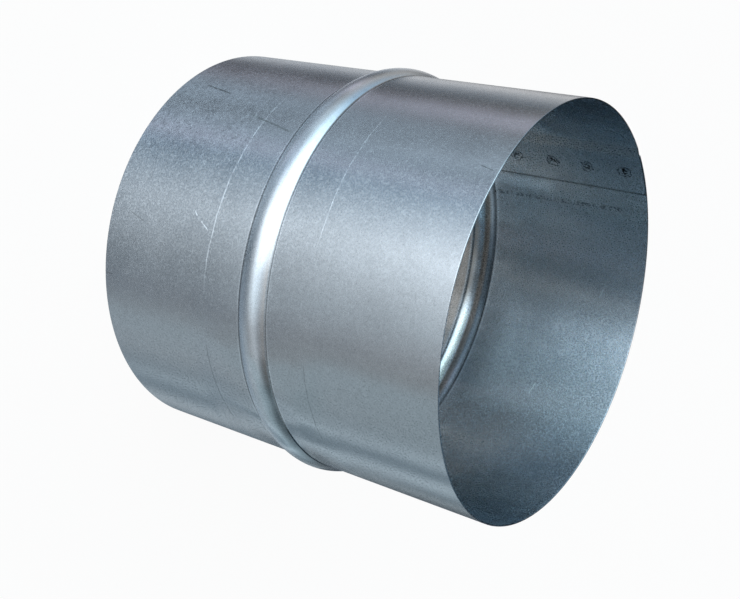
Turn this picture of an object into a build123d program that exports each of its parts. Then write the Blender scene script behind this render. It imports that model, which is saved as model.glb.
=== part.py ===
from build123d import *
from math import asin, cos, degrees, sin
import os

# Male duct connector, rolled from one strip of galvanised sheet. It stands on its lower
# rim: the duct's axis is +Z and the origin is the centre of that rim. The sheet overlaps
# itself in a spot-welded lap seam at the back, and a bead rolled outwards through both
# layers stops the two ducts that slide over the ends. Lengths are in millimetres, angles
# in degrees from +X.

# Tube, sized to slide inside a nominal 125 mm duct
outer_diameter = 124.2
sheet_thickness = 0.5
lower_spigot_length = 54
upper_spigot_length = 56

# Stop bead
bead_width = 10
bead_height = 1.9
bead_root_radius = 1

# Lap seam
seam_angle = 145
lap_width = 16
joggle_width = 3.2

# Tube and bead worked out from these
outer_radius = outer_diameter / 2
bead_centre = lower_spigot_length + bead_width / 2
length = lower_spigot_length + bead_width + upper_spigot_length
half_bead = bead_width / 2
crest_bend_radius = (half_bead**2 + bead_height**2) / (2 * bead_height) - bead_root_radius
flank_angle = asin(half_bead / (crest_bend_radius + bead_root_radius))


def angle_of(arc_length):
    """Angle that a length takes up round the tube."""
    return degrees(arc_length / outer_radius)


# Free edges of the sheet, and the foot of the joggle that brings the inner layer back out
inner_edge_angle = seam_angle - angle_of(lap_width / 2)
outer_edge_angle = seam_angle + angle_of(lap_width / 2)
joggle_foot_angle = outer_edge_angle + angle_of(joggle_width)


def half_plane(angle):
    """Plane through the duct's axis, with its x pointing outwards at the angle and its y up."""
    outwards = Vector(1, 0, 0).rotate(Axis.Z, angle)
    return Plane(origin=(0, 0, 0), x_dir=outwards, z_dir=outwards.cross(Vector(0, 0, 1)))


def surface_wire(depth):
    """Half section of the surface that lies a depth inside the tube's outer one, bottom to top."""
    tube_radius = outer_radius - depth
    bend_radius = crest_bend_radius - depth
    flank_radius = outer_radius + bead_height - crest_bend_radius + bend_radius * cos(flank_angle)
    flank_rise = bend_radius * sin(flank_angle)
    crest = (outer_radius + bead_height - depth, bead_centre)
    with BuildLine() as surface:
        lower = Line((tube_radius, 0), (tube_radius, lower_spigot_length))
        root = TangentArc(lower @ 1, (flank_radius, bead_centre - flank_rise), tangent=lower % 1)
        bend = ThreePointArc(root @ 1, crest, (flank_radius, bead_centre + flank_rise))
        upper_start = (tube_radius, lower_spigot_length + bead_width)
        TangentArc(bend @ 1, upper_start, tangent=bend % 1)
        Line(upper_start, (tube_radius, length))
    return surface.wire()


def sheet_section(angle, depth):
    """One thickness of sheet at an angle round the tube, a depth inside its outer surface."""
    outside = surface_wire(depth)
    inside = surface_wire(depth + sheet_thickness)
    with BuildSketch(half_plane(angle)) as section:
        with BuildLine():
            add([outside, inside])
            Line(outside @ 0, inside @ 0)
            Line(outside @ 1, inside @ 1)
        make_face()
    return section.sketch


with BuildPart() as connector_shell:
    # Outer layer and single wall, from the joggle's foot all the way round to the free outer edge
    revolve(
        sheet_section(joggle_foot_angle, 0),
        axis=Axis.Z,
        revolution_arc=360 + outer_edge_angle - joggle_foot_angle,
    )

    # Inner layer of the lap, welded face to face to the outer one
    revolve(
        sheet_section(inner_edge_angle, sheet_thickness),
        axis=Axis.Z,
        revolution_arc=outer_edge_angle - inner_edge_angle,
    )

    # Joggle, one sheet thickness deep, so that nothing stands proud of the round outside
    loft(
        [
            sheet_section(outer_edge_angle, sheet_thickness),
            sheet_section(joggle_foot_angle, 0),
        ],
        ruled=True,
    )

connector_shell.part.label = "connector_shell"

os.makedirs("parts", exist_ok=True)
export_step(connector_shell.part, "parts/connector_shell.step")
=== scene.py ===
from math import asin, cos, degrees, pi, radians, sin

import bpy
from mathutils import Matrix, Vector


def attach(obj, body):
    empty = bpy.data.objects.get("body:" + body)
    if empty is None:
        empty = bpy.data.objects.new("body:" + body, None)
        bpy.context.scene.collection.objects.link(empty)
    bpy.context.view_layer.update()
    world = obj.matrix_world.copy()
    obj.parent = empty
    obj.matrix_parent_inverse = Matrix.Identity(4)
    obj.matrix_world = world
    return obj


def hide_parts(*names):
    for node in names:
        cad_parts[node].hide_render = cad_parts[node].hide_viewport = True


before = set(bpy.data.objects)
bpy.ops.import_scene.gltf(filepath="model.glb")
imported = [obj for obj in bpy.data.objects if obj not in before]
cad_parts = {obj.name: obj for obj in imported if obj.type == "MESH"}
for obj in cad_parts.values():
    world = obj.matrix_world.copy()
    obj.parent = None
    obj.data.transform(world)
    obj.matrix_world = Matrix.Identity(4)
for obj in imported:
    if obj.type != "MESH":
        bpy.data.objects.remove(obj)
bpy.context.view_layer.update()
bpy.ops.object.select_all(action="DESELECT")

# Sizes of the connector, in metres, and places round the tube, in degrees from +X
outer_radius = 0.0621
sheet = 0.0005
lower_spigot = 0.054
bead_width = 0.010
bead_height = 0.0019
root_bend = 0.001
length = 0.120
inner_edge, outer_edge, joggle_foot = 137.62, 152.38, 155.33
lap_gap = 0.00002
edge_rounding = 0.00018

# Spot welds along the middle of the lap
weld_line = 145
weld_heights = [0.0062, 0.0191, 0.0315, 0.0446, 0.0754, 0.0885, 0.1009, 0.1138]
weld_reach = 0.0023
weld_depth = 0.00012

# Worked out from these
bead_centre = lower_spigot + bead_width / 2
crest_bend = (bead_width**2 / 4 + bead_height**2) / (2 * bead_height) - root_bend
flank = asin(bead_width / 2 / (crest_bend + root_bend))

# How finely the sheet is divided: in the bead's bends, once round, and along the lap
root_steps, crest_steps = 5, 18
round_steps, lap_steps = 171, 12
weld_cuts = 7


# Helpers for working on a mesh as by hand

def outwards(angle):
    """Unit vector from the duct's axis at an angle in degrees."""
    return Vector((cos(radians(angle)), sin(radians(angle)), 0))


def round_the_tube(point):
    """Angle of a point round the duct's axis, in degrees from 0 to 360."""
    return -degrees(Vector((1, 0)).angle_signed(point.to_2d())) % 360


def select_where(mesh_object, wanted):
    """Leaves exactly those vertices selected, in edit mode, that pass a test on their place."""
    bpy.ops.object.mode_set(mode="OBJECT")
    mesh = mesh_object.data
    mesh.polygons.foreach_set("select", [False] * len(mesh.polygons))
    mesh.edges.foreach_set("select", [False] * len(mesh.edges))
    for vertex in mesh.vertices:
        vertex.select = wanted(vertex.co)
    bpy.ops.object.mode_set(mode="EDIT")
    bpy.ops.mesh.select_mode(type="VERT")


def bend_profile(centre_radius, centre_height, angle, steps):
    """Bends the sheet's section on from its selected end, about a centre in the half plane."""
    bpy.ops.mesh.spin(
        steps=steps, angle=angle,
        center=outwards(joggle_foot) * centre_radius + Vector((0, 0, centre_height)),
        axis=outwards(joggle_foot).cross(Vector((0, 0, 1))),
    )


def roll_sheet(angle, steps):
    """Carries the selected section on round the duct's axis by an angle in degrees."""
    # About +Z a spin turns clockwise, so it is given the opposite angle
    bpy.ops.mesh.spin(steps=steps, angle=-radians(angle), center=(0, 0, 0), axis=(0, 0, 1))


def apply_modifier(piece, kind, **settings):
    modifier = piece.modifiers.new(kind.title(), kind)
    for name, value in settings.items():
        setattr(modifier, name, value)
    bpy.context.view_layer.objects.active = piece
    bpy.ops.object.modifier_apply(modifier=modifier.name)


# Shell: one strip of sheet, bent to its section, then rolled once round and on into the lap

# The section starts with the lower spigot, which is the inner edge of an upright plane
plane_middle = outwards(joggle_foot) * (outer_radius + lower_spigot / 2)
plane_middle.z = lower_spigot / 2
bpy.ops.mesh.primitive_plane_add(
    size=lower_spigot, location=plane_middle, rotation=(pi / 2, 0, radians(joggle_foot))
)
shell = bpy.context.active_object
shell.name = "rolled_shell"
bpy.ops.object.transform_apply(location=True, rotation=True, scale=True)
select_where(shell, lambda p: p.to_2d().length > outer_radius + lower_spigot / 2)
bpy.ops.mesh.delete(type="VERT")

select_where(shell, lambda p: p.z > lower_spigot / 2)
bend_profile(outer_radius + root_bend, lower_spigot, flank, root_steps)
bend_profile(outer_radius + bead_height - crest_bend, bead_centre, -2 * flank, crest_steps)
bend_profile(outer_radius + root_bend, lower_spigot + bead_width, flank, root_steps)
bpy.ops.mesh.extrude_region_move(
    TRANSFORM_OT_translate={"value": (0, 0, length - lower_spigot - bead_width)}
)

bpy.ops.mesh.select_all(action="SELECT")
roll_sheet(360 + inner_edge - joggle_foot, round_steps)
roll_sheet(outer_edge - inner_edge, lap_steps)

# From the first section the sheet also goes back down the joggle and on as the lap's inner layer
angle_slack = 0.1
select_where(shell, lambda p: abs(round_the_tube(p) - joggle_foot) < angle_slack)
roll_sheet(outer_edge - joggle_foot, 1)
step_in = (outer_radius - sheet - lap_gap) / outer_radius
bpy.ops.transform.resize(value=(step_in, step_in, 1), center_override=(0, 0, 0))
roll_sheet(inner_edge - outer_edge, lap_steps)

bpy.ops.mesh.select_all(action="SELECT")
bpy.ops.mesh.remove_doubles(threshold=1e-6)
bpy.ops.mesh.normals_make_consistent(inside=False)

# Spot welds: both layers of the lap are pressed together in a row of small dents. Each dent lies
# in a finely divided patch, given by its half height and half angle
patch_height = weld_reach * 1.25
patch_angle = 3.2
height_slack = 0.00001
lap_slack = 0.3
layer_slack = 0.0001
dent_middle = 0.0004
for layer_radius, push in ((outer_radius, -weld_depth), (outer_radius * step_in, weld_depth)):
    def in_lap(p):
        return (
            inner_edge - lap_slack < round_the_tube(p) < outer_edge + lap_slack
            and abs(p.to_2d().length - layer_radius) < layer_slack
        )

    for height in weld_heights:
        for cut in (height - patch_height, height + patch_height):
            select_where(shell, in_lap)
            bpy.ops.mesh.select_mode(type="FACE")
            bpy.ops.mesh.bisect(plane_co=(0, 0, cut), plane_no=(0, 0, 1))
    for height in weld_heights:
        select_where(
            shell,
            lambda p: in_lap(p)
            and abs(p.z - height) < patch_height + height_slack
            and abs(round_the_tube(p) - weld_line) < patch_angle,
        )
        bpy.ops.mesh.subdivide(number_cuts=weld_cuts)
        middle = outwards(weld_line) * layer_radius + Vector((0, 0, height))
        select_where(shell, lambda p: (p - middle).length < dent_middle)
        bpy.ops.transform.translate(
            value=outwards(weld_line) * push, use_proportional_edit=True,
            proportional_edit_falloff="SMOOTH", proportional_size=weld_reach,
            use_proportional_connected=True,
        )

bpy.ops.object.mode_set(mode="OBJECT")
apply_modifier(shell, "SOLIDIFY", thickness=sheet, offset=-1, use_even_offset=True)
apply_modifier(
    shell, "BEVEL", width=edge_rounding, segments=3, limit_method="ANGLE", angle_limit=radians(60)
)
bpy.ops.object.select_all(action="DESELECT")
shell.select_set(True)
bpy.ops.object.shade_smooth_by_angle(angle=radians(40))
apply_modifier(shell, "WEIGHTED_NORMAL", keep_sharp=True, weight=100)
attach(shell, "root")
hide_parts("connector_shell")


# Helpers for node trees

def add_node(tree, kind, **settings):
    """New node with its properties set; inputs are a dict of name or number to value or socket."""
    node = tree.nodes.new(kind)
    inputs = settings.pop("inputs", {})
    for name, value in settings.items():
        setattr(node, name, value)
    for name, value in inputs.items():
        if isinstance(value, bpy.types.NodeSocket):
            tree.links.new(value, node.inputs[name])
        else:
            node.inputs[name].default_value = value
    return node


def place_group(tree, group, **values):
    """Node group placed in a tree; an input such as half_width is the socket Half Width."""
    node = tree.nodes.new("ShaderNodeGroup")
    node.node_tree = group
    for name, value in values.items():
        socket = node.inputs[name.replace("_", " ").title()]
        if isinstance(value, bpy.types.NodeSocket):
            tree.links.new(value, socket)
        else:
            socket.default_value = value
    return node.outputs


def new_group(name, inputs, outputs):
    """Empty shader node group; inputs and outputs are names with their socket kinds."""
    group = bpy.data.node_groups.new(name, "ShaderNodeTree")
    for socket, kind in inputs.items():
        group.interface.new_socket(socket, in_out="INPUT", socket_type="NodeSocket" + kind)
    for socket, kind in outputs.items():
        group.interface.new_socket(socket, in_out="OUTPUT", socket_type="NodeSocket" + kind)
    return group, group.nodes.new("NodeGroupInput").outputs, group.nodes.new("NodeGroupOutput")


def calculate(tree, operation, *values):
    """Math node over sockets and numbers; gives its value."""
    node = add_node(tree, "ShaderNodeMath", operation=operation, inputs=dict(enumerate(values)))
    return node.outputs[0]


def build_up(tree, start, *layers):
    """Value that starts from another, and gets each (value, strength) layer added on."""
    for value, strength in layers:
        start = calculate(tree, "MULTIPLY_ADD", value, strength, start)
    return start


def fade(tree, value, full, none):
    """Smooth mask: 1 where the value is at full or past it, 0 where it is at none or past it."""
    mask = add_node(
        tree, "ShaderNodeMapRange", interpolation_type="SMOOTHSTEP",
        inputs={"Value": value, "From Min": none, "From Max": full},
    )
    return mask.outputs[0]


def band(tree, value, middle, full, none):
    """Smooth mask: 1 where the value is within full of a middle, 0 where it is none or further."""
    away = calculate(tree, "ABSOLUTE", calculate(tree, "SUBTRACT", value, middle))
    return fade(tree, away, full, none)


def noise(tree, vector, scale, detail=2, roughness=0.5):
    texture = add_node(
        tree, "ShaderNodeTexNoise",
        inputs={"Vector": vector, "Scale": scale, "Detail": detail, "Roughness": roughness},
    )
    return texture.outputs["Fac"]


def ramp(tree, factor, stops):
    """Straight run of colours through (place, colour) stops."""
    node = add_node(tree, "ShaderNodeValToRGB", inputs={0: factor})
    node.color_ramp.interpolation = "LINEAR"
    while len(node.color_ramp.elements) < len(stops):
        node.color_ramp.elements.new(0.5)
    for element, (place, colour) in zip(node.color_ramp.elements, stops):
        element.position = place
        element.color = (*colour, 1)
    return node.outputs["Color"]


# Zinc skin: fine grain, small crystals, dark specks and slow clouds; points are in millimetres
zinc_skin, given, made = new_group(
    "zinc_skin", {"Point": "Vector"}, {"Tone": "Float", "Haze": "Float", "Height": "Float"}
)
fine = noise(zinc_skin, given["Point"], 3.0, 2, 0.6)
grain = noise(zinc_skin, given["Point"], 1.3, 3, 0.7)
specks = fade(zinc_skin, noise(zinc_skin, given["Point"], 2.4, 1), 0.68, 0.58)
crystals = add_node(
    zinc_skin, "ShaderNodeTexVoronoi", inputs={"Vector": given["Point"], "Scale": 0.75}
).outputs["Color"]
crystal = add_node(zinc_skin, "ShaderNodeSeparateColor", inputs={0: crystals}).outputs[0]
clouds = noise(zinc_skin, given["Point"], 0.06, 3)
dull = fade(zinc_skin, noise(zinc_skin, given["Point"], 1.6, 3, 0.7), 0.64, 0.48)
tone = build_up(
    zinc_skin, 0.51,
    (fine, 0.22), (grain, 0.56), (crystal, 0.12), (clouds, 0.14), (specks, -0.2),
)
zinc_skin.links.new(tone, made.inputs["Tone"])
zinc_skin.links.new(build_up(zinc_skin, -0.06, (dull, 0.08), (clouds, 0.06)), made.inputs["Haze"])
zinc_skin.links.new(calculate(zinc_skin, "MULTIPLY", fine, 0.004), made.inputs["Height"])

# Fine line on the rolled sheet, such as a scratch or a rub mark; all lengths in millimetres
fine_line, given, made = new_group(
    "fine_line",
    {
        "Around": "Float", "Up": "Float", "Middle Around": "Float", "Middle Up": "Float",
        "Slant": "Float", "Half Length": "Float", "Half Width": "Float", "Wander": "Float",
    },
    {"Mask": "Float"},
)
aside = calculate(fine_line, "SUBTRACT", given["Around"], given["Middle Around"])
above = calculate(fine_line, "SUBTRACT", given["Up"], given["Middle Up"])
above = calculate(fine_line, "ADD", above, given["Wander"])
cosine, sine = (calculate(fine_line, kind, given["Slant"]) for kind in ("COSINE", "SINE"))
along = build_up(fine_line, 0, (above, sine), (aside, cosine))
across = calculate(
    fine_line, "SUBTRACT",
    calculate(fine_line, "MULTIPLY", above, cosine), calculate(fine_line, "MULTIPLY", aside, sine),
)
along, across = (calculate(fine_line, "ABSOLUTE", way) for way in (along, across))
ends = fade(fine_line, calculate(fine_line, "DIVIDE", along, given["Half Length"]), 0.7, 1)
edges = fade(fine_line, calculate(fine_line, "DIVIDE", across, given["Half Width"]), 0.3, 1)
fine_line.links.new(calculate(fine_line, "MULTIPLY", ends, edges), made.inputs["Mask"])

# Spot weld: a broken dark ring left by the electrode, burnt specks inside it and a bright dot
weld_mark, given, made = new_group(
    "weld_mark",
    {"Around": "Float", "Up": "Float", "Grain": "Float", "Specks": "Float"},
    {"Burn": "Float", "Dot": "Float"},
)
reach = calculate(
    weld_mark, "SQRT",
    build_up(weld_mark, 0, (given["Up"], given["Up"]), (given["Around"], given["Around"])),
)
ragged = build_up(weld_mark, reach, (given["Grain"], 2.4))
ring = band(weld_mark, ragged, 2, 0.05, 0.4)
ring = calculate(weld_mark, "MULTIPLY", ring, build_up(weld_mark, 0.3, (given["Specks"], 0.6)))
core = calculate(weld_mark, "MULTIPLY", fade(weld_mark, ragged, 0.9, 1.8), given["Specks"])
weld_mark.links.new(calculate(weld_mark, "MAXIMUM", ring, core), made.inputs["Burn"])
weld_mark.links.new(fade(weld_mark, reach, 0.15, 0.45), made.inputs["Dot"])

# Galvanised sheet; its marks are placed in millimetres, and in degrees round the tube
galvanised = bpy.data.materials.new("galvanised_steel")
galvanised.use_nodes = True
tree = galvanised.node_tree
surface = tree.nodes["Principled BSDF"]
surface.inputs["Metallic"].default_value = 1
surface.inputs["Anisotropic"].default_value = 0.94
surface.inputs["Anisotropic Rotation"].default_value = 0.25
shell.data.materials.append(galvanised)

millimetres = 1000
place = add_node(tree, "ShaderNodeTexCoord").outputs["Object"]
point = add_node(
    tree, "ShaderNodeVectorMath", operation="SCALE", inputs={"Vector": place, "Scale": millimetres}
).outputs[0]
x, y, up = add_node(tree, "ShaderNodeSeparateXYZ", inputs={0: point}).outputs
turn = calculate(tree, "ARCTAN2", y, x)
around = calculate(tree, "MULTIPLY", turn, outer_radius * millimetres)
above_bead = calculate(tree, "SUBTRACT", up, bead_centre * millimetres)
from_crest = calculate(tree, "ABSOLUTE", above_bead)
half_length = length * millimetres / 2
from_middle = calculate(tree, "ABSOLUTE", calculate(tree, "SUBTRACT", up, half_length))
skin = place_group(tree, zinc_skin, point=point)
wander = build_up(tree, -0.6, (noise(tree, point, 0.12, 3), 1.2))


def arc_to(angle):
    """Way round the outside of the tube to an angle in degrees."""
    return radians(angle) * outer_radius * millimetres


def fade_round(full, none):
    """Mask that fades round the tube, between two angles in degrees."""
    return fade(tree, turn, radians(full), radians(none))


def sector(middle, full, none):
    """Mask of a part of the tube's round, from its middle and its half widths in degrees."""
    return band(tree, turn, radians(middle), radians(full), radians(none))


def line(angle, height, slant, reach, width):
    """Mask of a fine line centred at an angle and height; its slant is in degrees from level."""
    return place_group(
        tree, fine_line, around=around, up=up, middle_around=arc_to(angle), middle_up=height,
        slant=radians(slant), half_length=reach, half_width=width, wander=wander,
    )["Mask"]


def combine(operation, masks):
    total = masks[0]
    for mask in masks[1:]:
        total = calculate(tree, operation, total, mask)
    return total


def together(*masks):
    """Marks where any of the masks does."""
    return combine("MAXIMUM", masks)


def overlap(*masks):
    """Marks only where all of the masks do."""
    return combine("MULTIPLY", masks)


# The sheet's two sides, told apart by the distance from the axis, less the bulge of the bead
from_axis = calculate(tree, "SQRT", build_up(tree, 0, (y, y), (x, x)))
crest_arc = calculate(tree, "MULTIPLY", from_crest, from_crest)
crest_arc = calculate(tree, "SUBTRACT", (crest_bend * millimetres)**2, crest_arc)
crest_arc = calculate(tree, "SQRT", calculate(tree, "MAXIMUM", crest_arc, 0))
bulge = calculate(tree, "SUBTRACT", crest_arc, (crest_bend - bead_height) * millimetres)
unbeaded = calculate(tree, "SUBTRACT", from_axis, calculate(tree, "MAXIMUM", bulge, 0))
outside = fade(
    tree, unbeaded,
    (outer_radius - 0.3 * sheet) * millimetres, (outer_radius - 0.7 * sheet) * millimetres,
)
inside = calculate(tree, "SUBTRACT", 1, outside)

# Rub marks where a duct was pushed on, scratches from handling, and inside beside the lap a dark
# flecked line and a painted highlight
worn = build_up(tree, 0.35, (fade(tree, noise(tree, point, 0.5, 3), 0.6, 0.35), 0.65))
rubs = overlap(together(line(-103, 40.8, 0, 35, 0.26), line(-112, 77.5, 0, 24, 0.15)), worn)
rub_ends = overlap(together(line(-44, 40.7, 0, 18, 0.24), line(-48, 77, 0, 16, 0.2)), 0.45)
bright_outside = together(
    rubs,
    line(-51.5, 12.6, 52, 1.5, 0.2), line(-92.1, 33.1, 45, 1, 0.2), line(-89.5, 37.2, 56, 2.1, 0.2),
)
dark_outside = together(
    line(-131.5, 14.8, 78, 6.5, 0.4), line(-121.6, 43.5, 77, 10.8, 0.5),
    line(-119, 116.2, 75, 2.4, 0.22), line(-87.7, 10.5, 72, 3.7, 0.22),
    line(-70.2, 1.7, 90, 1.7, 0.2), rub_ends,
)
bright_inside = together(line(67, 92, 8, 2.4, 0.18), line(102, 106, 20, 2, 0.18))
flecks = fade(tree, noise(tree, point, 1.1, 3, 0.7), 0.58, 0.46)
# Inside, a dark flecked line runs along the tube a little way from the lap's inner edge
dark_inside = overlap(line(129.8, 88, 88.5, 30, 1.1), flecks)
bright = together(overlap(bright_outside, outside), overlap(bright_inside, inside))
dark = together(overlap(dark_outside, outside), overlap(dark_inside, inside))
# Painted highlight: a light band inside beside the lap's inner edge
lap_highlight = overlap(line(134.2, 72, 90, 17, 3), inside)

# Spot welds, the same distance from both rims
beside_welds = calculate(tree, "SUBTRACT", around, arc_to(weld_line))
coarse = calculate(tree, "SUBTRACT", noise(tree, point, 0.7, 2), 0.5)
burnt = fade(tree, noise(tree, point, 1.5, 2), 0.56, 0.42)
burns, dots = [], []
for height in weld_heights[:4]:
    away = calculate(tree, "SUBTRACT", from_middle, half_length - height * millimetres)
    mark = place_group(tree, weld_mark, around=beside_welds, up=away, grain=coarse, specks=burnt)
    burns.append(mark["Burn"])
    dots.append(mark["Dot"])

# Bead: burnished by the rolls, with streaks round it, painted shade in the crease at each foot and
# a painted highlight line outside that. Its outer face is brighter, partly burnish and partly
# painted highlight
on_bead = fade(tree, from_crest, 4.4, 5.2)
# Painted shade: a dark line in the crease at each foot of the bead
crease_shade = band(tree, from_crest, build_up(tree, 4.8, (inside, -0.3)), 0.16, 0.5)
# Painted highlight: a bright line just outside each crease
bead_lip_highlight = band(tree, from_crest, 5.35, 0.05, 0.3)
rolled = add_node(
    tree, "ShaderNodeCombineXYZ",
    inputs={0: calculate(tree, "MULTIPLY", around, 0.06), 1: calculate(tree, "MULTIPLY", up, 1.1)},
).outputs[0]
streaks = overlap(calculate(tree, "SUBTRACT", noise(tree, rolled, 1, 3, 0.6), 0.5), on_bead)

# Inside, the bead is a groove with painted light: a painted highlight on part of its lower flank
# and on its upper lip, and painted shade on its floor and elsewhere. The sheet above it gets
# painted shade in one patch, and near the seam
groove_floor_shade = overlap(inside, band(tree, above_bead, -0.2, 0.4, 1.3))
groove_highlight = overlap(inside, fade_round(84, 92), band(tree, above_bead, -2.8, 1.1, 2))
groove_shade = overlap(inside, fade(tree, from_crest, 4, 4.6), together(
    overlap(fade_round(98, 90), build_up(tree, 1, (fade_round(110, 103), -0.3))),
    overlap(fade(tree, above_bead, -1, -2), 0.8),
    fade(tree, above_bead, -4.4, -3.4),
))
groove_lip_highlight = overlap(inside, band(tree, above_bead, 2.3, 0.4, 1.1))
# Painted shade on the sheet above the groove, and near the seam
shade_above_groove = overlap(
    inside, fade(tree, above_bead, 7, 19), fade(tree, above_bead, 5, 4), sector(74, 10, 26)
)
shade_by_seam = overlap(inside, fade(tree, above_bead, 7, 3), sector(132, 12, 34))

# Dirt and painted shade in a thin dark line along the two free edges of the sheet, and painted
# shade over the joggle inside
inner_edge_dirt_and_shade = overlap(band(tree, around, arc_to(inner_edge) - 0.25, 0.2, 0.75), inside)
outer_edge_dirt_and_shade = overlap(band(tree, around, arc_to(outer_edge) + 0.3, 0.15, 0.6), outside)
joggle_shade = overlap(inside, sector((outer_edge + joggle_foot) / 2, 1.4, 2.6))

# The skin is patchy: coarser on the lower spigot's flank and inside, across from the seam, where
# near the rim it is also brightened as a painted pool of light
flank_patch = overlap(fade(tree, up, 34, 50), sector(-126, 10, 32))
# Inside near the rim: coarser grain, and a painted pool of light
inner_coarse_lit_patch = overlap(fade(tree, up, 100, 78), sector(62, 22, 58))
contrast = calculate(
    tree, "ADD",
    overlap(outside, build_up(tree, 0.6, (flank_patch, 1.2))),
    overlap(inside, build_up(tree, 0.3, (inner_coarse_lit_patch, 0.45))),
)

# Tone of the metal, which each mark makes brighter or darker
skin_tone = build_up(tree, 1, (calculate(tree, "SUBTRACT", skin["Tone"], 1), contrast))
# The bead's outer face is brightened, partly as burnish and partly as a painted highlight
tone = build_up(
    tree, skin_tone, (streaks, 0.5), (bright, 0.45), (dark, -0.5), (together(*burns), -0.85),
    (together(*dots), 0.5), (crease_shade, -0.6), (bead_lip_highlight, 0.28), (lap_highlight, 0.35),
    (together(inner_edge_dirt_and_shade, outer_edge_dirt_and_shade), -0.6), (groove_floor_shade, -0.2), (groove_highlight, 0.75),
    (groove_shade, -0.46), (groove_lip_highlight, 0.3), (shade_above_groove, -0.38), (shade_by_seam, -0.2),
    (joggle_shade, -0.3), (overlap(on_bead, outside), 0.3), (overlap(inner_coarse_lit_patch, inside), 0.36),
)

# The cut faces at both rims get a painted highlight on the side at -60 degrees, and elsewhere are
# darkened as tarnish and painted shade
painted_lit_side = outwards(-60)
towards_lit_side = build_up(tree, 0, (y, painted_lit_side.y), (x, painted_lit_side.x))
cut_face = fade(tree, calculate(tree, "SUBTRACT", half_length, from_middle), 0.03, 0.09)
# Painted light on the cut faces: brighter on one side, darker elsewhere, as tarnish and shade
cut_tarnish_light_and_shade = overlap(cut_face, build_up(tree, 0.15, (fade(tree, towards_lit_side, 27, 33), -0.9)))
tone = overlap(tone, calculate(tree, "ADD", cut_tarnish_light_and_shade, 1))

# Colour of the metal: cooler inside, as a painted tint of the blue light there, with a warm stain
# low down and on the groove's floor
stain = overlap(
    inside, together(fade(tree, above_bead, -6.5, -4.5), fade(tree, from_crest, 0.6, 1.5))
)
metal = (0.56, 0.6, 0.64)
# The inside's cooler colour is painted light, a tint for the blue light inside
for area, colour in ((inside, (0.505, 0.585, 0.65)), (stain, (0.6, 0.575, 0.545))):
    metal = add_node(
        tree, "ShaderNodeMix", data_type="VECTOR", inputs={0: area, 4: metal, 5: colour}
    ).outputs[1]
zinc = add_node(
    tree, "ShaderNodeVectorMath", operation="SCALE", inputs={"Vector": metal, "Scale": tone}
)
tree.links.new(zinc.outputs[0], surface.inputs["Base Color"])

# Roughness: marks are duller than the skin, and the burnished bead is more even
skin_roughness = 0.28
roughness = build_up(tree, skin["Haze"], (together(bright, dark, *burns), 0.12))
roughness = overlap(roughness, build_up(tree, 1, (on_bead, -0.7)))
roughness = calculate(tree, "ADD", roughness, skin_roughness)
tree.links.new(roughness, surface.inputs["Roughness"])
grain_of_rolling = add_node(tree, "ShaderNodeTangent", direction_type="RADIAL", axis="Z")
tree.links.new(grain_of_rolling.outputs[0], surface.inputs["Tangent"])

# Relief: faint waves, stronger beside the bead past -44 degrees, and a shallow dip near +X
puckers = build_up(tree, 0.3, (overlap(fade(tree, from_crest, 5, 26), fade_round(-44, -80)), 3))
waves = overlap(noise(tree, point, 0.03, 2), puckers)
off_bead = calculate(tree, "SUBTRACT", 1, on_bead)
pinch = overlap(off_bead, fade(tree, from_crest, 6, 20), sector(-8, 0, 34))
height = build_up(
    tree, skin["Height"], (waves, 1), (pinch, -2.4), (together(bright, dark), -0.01)
)
relief = add_node(tree, "ShaderNodeBump", inputs={"Height": height, "Distance": 0.001})
tree.links.new(relief.outputs["Normal"], surface.inputs["Normal"])

# Floor: white to the camera but for the connector's shadow, and open to what the metal mirrors
bpy.ops.mesh.primitive_plane_add(size=12, location=(0, 0, 0))
floor = bpy.context.active_object
floor.name = "studio_floor"
paper = bpy.data.materials.new("white_paper")
paper.use_nodes = True
tree = paper.node_tree
tree.nodes.clear()
rays = add_node(tree, "ShaderNodeLightPath").outputs
matt = add_node(tree, "ShaderNodeBsdfDiffuse", inputs={"Color": (0.8, 0.8, 0.8, 1)})
glow = add_node(tree, "ShaderNodeEmission", inputs={"Strength": 1.0})
whitened = calculate(tree, "MULTIPLY", rays["Is Camera Ray"], 0.95)
seen = add_node(
    tree, "ShaderNodeMixShader", inputs={0: whitened, 1: matt.outputs[0], 2: glow.outputs[0]}
)
clear = add_node(tree, "ShaderNodeBsdfTransparent")
open_to = calculate(tree, "MAXIMUM", rays["Is Glossy Ray"], rays["Is Shadow Ray"])
paper_surface = add_node(
    tree, "ShaderNodeMixShader", inputs={0: open_to, 1: seen.outputs[0], 2: clear.outputs[0]}
)
add_node(tree, "ShaderNodeOutputMaterial", inputs={"Surface": paper_surface.outputs[0]})
floor.data.materials.append(paper)

# Studio: soft light from all round, brightest in front and cooler above
studio = bpy.data.worlds.new("studio")
studio.use_nodes = True
bpy.context.scene.world = studio
tree = studio.node_tree
tree.nodes.clear()
direction = add_node(tree, "ShaderNodeTexCoord").outputs["Generated"]
bearing = add_node(
    tree, "ShaderNodeTexGradient", gradient_type="RADIAL", inputs={"Vector": direction}
).outputs["Fac"]
rise = add_node(tree, "ShaderNodeSeparateXYZ", inputs={0: direction}).outputs["Z"]

# Tints of the light
deep, blue, sky = (0.40, 0.70, 1.0), (0.56, 0.78, 1.0), (0.70, 0.84, 1.0)
moss, mist, cloud = (0.72, 0.92, 1.0), (0.83, 0.94, 1.0), (0.92, 0.96, 1.0)
mauve, rose = (0.87, 0.84, 1.0), (1.0, 0.88, 1.0)
pale, warm = (1.0, 0.97, 0.96), (1.0, 0.88, 0.76)


def ring_of_light(*stops):
    """Light all round, from stops of a bearing in degrees from -180, a level and a tint."""
    places = [
        ((angle + 180) / 360, [level * part for part in tint]) for angle, level, tint in stops
    ]
    return ramp(tree, bearing, places + [(1, places[0][1])])


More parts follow.
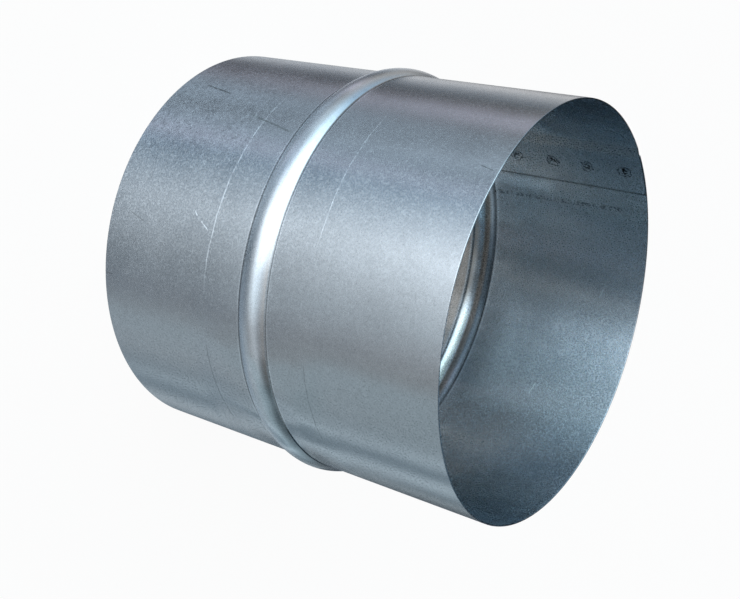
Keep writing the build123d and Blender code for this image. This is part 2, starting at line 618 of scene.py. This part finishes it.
# Each ring lies at its own height, from -1 straight down to 1 straight up. Seen from above, the
# tube's straight walls mirror the lower rings, and its bead mirrors the higher ones too
rings = [
    (-0.95, ring_of_light(
        (-180, 0.5, sky), (-168, 0.07, mauve), (-150, 0.65, sky), (-138, 0.4, sky),
        (-96, 0.14, deep), (-72, 0.06, deep), (-30, 0.35, sky), (36, 0.4, blue),
        (54, 0.55, sky), (66, 0.4, sky), (132, 0.35, sky), (150, 0.14, deep),
    )),
    (-0.70, ring_of_light(
        (-180, 0.95, sky), (-174, 0, sky), (-162, 0.1, rose), (-156, 0.85, sky),
        (-144, 0.8, mauve), (-138, 0.21, deep), (-66, 0.08, deep), (-42, 0.25, sky),
        (-30, 0.6, mist), (0, 0.6, cloud), (12, 0.2, blue), (18, 1, mist),
        (26, 0.1, deep), (34, 0.22, deep), (42, 0.7, mist), (54, 0.8, cloud),
        (60, 0.14, deep), (78, 0.4, sky), (96, 0.4, sky), (108, 0.05, deep),
        (126, 1.2, cloud), (132, 0.35, mauve), (144, 0, sky), (156, 0.07, warm),
    )),
    (-0.45, ring_of_light(
        (-180, 0, sky), (-156, 0.85, sky), (-150, 0.11, deep), (-132, 0.45, deep),
        (-102, 1.4, cloud), (-36, 0.15, warm), (-30, 0.4, moss), (6, 0.45, mist),
        (12, 1.05, mist), (18, 0.12, deep), (24, 0.1, deep), (32, 1.1, mist),
        (42, 0.15, deep), (48, 0.05, deep), (54, 0.9, mist), (60, 0, sky),
        (78, 0.4, sky), (96, 0.4, sky), (114, 0, sky), (120, 1.1, pale),
        (144, 0.19, deep), (156, 0.05, warm), (168, 0.95, mauve),
    )),
    (-0.15, ring_of_light(
        (-180, 0.5, warm), (-150, 0.4, cloud), (-138, 0.65, mauve), (-102, 2.65, cloud),
        (-66, 1.8, mist), (-48, 0.95, cloud), (-18, 0.55, moss), (30, 0.65, moss),
        (48, 0.17, mist), (60, 0.15, sky), (78, 0.4, sky), (102, 0.4, sky),
        (126, 0, sky), (144, 0.6, warm),
    )),
    (0.35, ring_of_light(
        (-180, 0.8, deep), (-138, 3.45, moss), (-96, 3.35, mist), (-72, 0.5, sky),
        (-30, 0, sky), (108, 0, sky), (162, 0.6, deep),
    )),
    (0.85, ring_of_light(
        (-180, 1.35, moss), (-90, 1, warm), (0, 0, sky), (90, 0.5, deep),
    )),
]
light = rings[0][1]
for (low_end, _), (high_end, higher) in zip(rings, rings[1:]):
    share = add_node(
        tree, "ShaderNodeMapRange",
        inputs={"Value": rise, "From Min": low_end, "From Max": high_end},
    ).outputs[0]
    light = add_node(
        tree, "ShaderNodeMix", data_type="RGBA", inputs={0: share, 6: light, 7: higher}
    ).outputs[2]

# The camera sees plain white in place of the rings
studio_light = add_node(tree, "ShaderNodeBackground", inputs={"Color": light})
white = add_node(tree, "ShaderNodeBackground", inputs={"Color": (1, 1, 1, 1)})
rays = add_node(tree, "ShaderNodeLightPath").outputs
seen_through = calculate(tree, "MAXIMUM", rays["Is Camera Ray"], rays["Is Transmission Ray"])
surroundings = add_node(
    tree, "ShaderNodeMixShader",
    inputs={0: seen_through, 1: studio_light.outputs[0], 2: white.outputs[0]},
)
add_node(tree, "ShaderNodeOutputWorld", inputs={"Surface": surroundings.outputs[0]})
studio.cycles.sampling_method = "NONE"

# Camera: the photograph's place and angle, found by fitting its outlines
eye = Vector((0.008868, -0.301781, 0.257143))
ahead = Vector((0, 0.8325, -0.554)).normalized()
top_of_frame = Vector((-0.9672, -0.1406, -0.2113))
bpy.ops.object.camera_add(location=eye)
camera = bpy.context.active_object
right = ahead.cross(top_of_frame).normalized()
camera.matrix_world = (
    Matrix.Translation(eye) @ Matrix((right, right.cross(ahead), -ahead)).transposed().to_4x4()
)
camera.data.lens = 55.71
bpy.context.scene.camera = camera
bpy.context.scene.view_settings.view_transform = "Standard"
